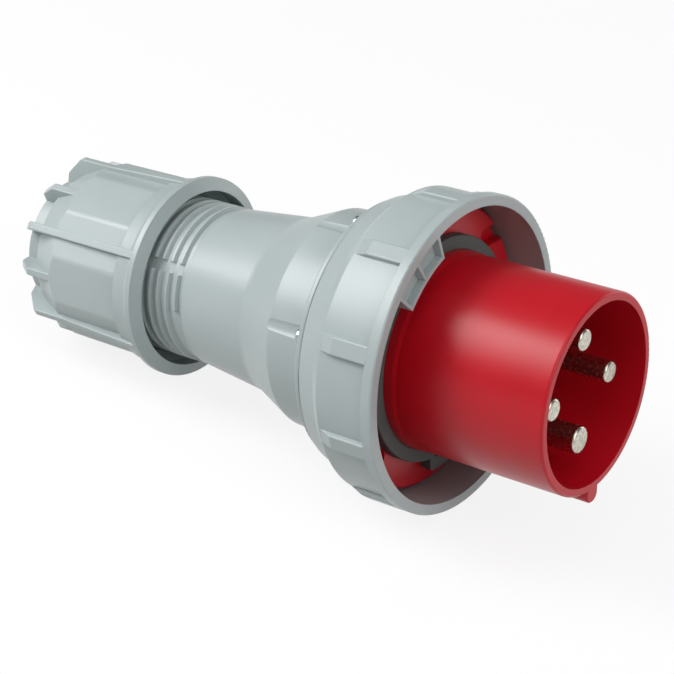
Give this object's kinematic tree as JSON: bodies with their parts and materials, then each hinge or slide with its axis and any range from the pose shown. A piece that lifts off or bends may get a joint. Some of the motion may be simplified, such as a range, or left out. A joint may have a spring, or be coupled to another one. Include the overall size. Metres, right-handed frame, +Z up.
{
  "type": "industrial pin and sleeve plug",
  "caption": "Splashproof industrial power plug with round contact pins inside a keyed red sleeve, a turning bayonet ring, a bell housing and a ribbed cable gland nut.",
  "frame": {"origin": "centre of the sleeve's front rim, on the plug's axis", "axes": "+X along the plug's axis, out of the mating end; +Z up, with the sleeve's key at the bottom (-Z); +Y completes the right-handed set"},
  "size_m": [0.2368, 0.1144, 0.1144],
  "materials": {
    "red_moulding": "moulded polyamide, satin",
    "grey_moulding": "moulded polyamide, satin",
    "dark_moulding": "moulded polyamide, matt",
    "face_rubber": "moulded rubber, matt",
    "black_rubber": "moulded rubber, matt",
    "nickel_pins": "turned brass, nickel plated",
    "steel_screws": "zinc plated steel"
  },
  "bodies": {
    "plug_body": {"insert_body": "red_moulding", "face_gasket": "face_rubber", "housing_seal": "face_rubber", "contact_plate": "dark_moulding", "rear_housing": "grey_moulding", "gland_seal": "black_rubber", "phase_pin_1": "nickel_pins", "phase_pin_2": "nickel_pins", "phase_pin_3": "nickel_pins", "earth_pin": "nickel_pins", "phase_terminal_screw_1": "steel_screws", "phase_terminal_screw_2": "steel_screws", "phase_terminal_screw_3": "steel_screws", "earth_terminal_screw": "steel_screws", "insert_screw_1": "steel_screws", "insert_screw_2": "steel_screws", "insert_screw_3": "steel_screws", "insert_screw_4": "steel_screws", "plate_screw_1": "steel_screws", "plate_screw_2": "steel_screws"},
    "bayonet_ring": {"locking_ring": "grey_moulding"},
    "gland_follower": {"gland_thrust_ring": "dark_moulding"},
    "gland_nut_body": {"gland_nut": "grey_moulding"}
  },
  "joints": [
    {"name": "ring_turn", "type": "hinge", "parent": "plug_body", "child": "bayonet_ring", "pos_m": [-0.0795, 0, 0], "axis": [1, 0, 0], "range_deg": [0, 45]},
    {"name": "gland_travel", "type": "slide", "parent": "plug_body", "child": "gland_follower", "axis": [1, 0, 0], "range_m": [-0.02075, 0.01411]},
    {"name": "nut_turn", "type": "hinge", "parent": "gland_follower", "child": "gland_nut_body", "pos_m": [-0.205, 0, 0], "axis": [1, 0, 0], "range_deg": [-1800, 1224]}
  ],
  "couplings": [
    {"joint": "gland_travel", "follows": "nut_turn", "m_per_rad": 0.00066049}
  ]
}
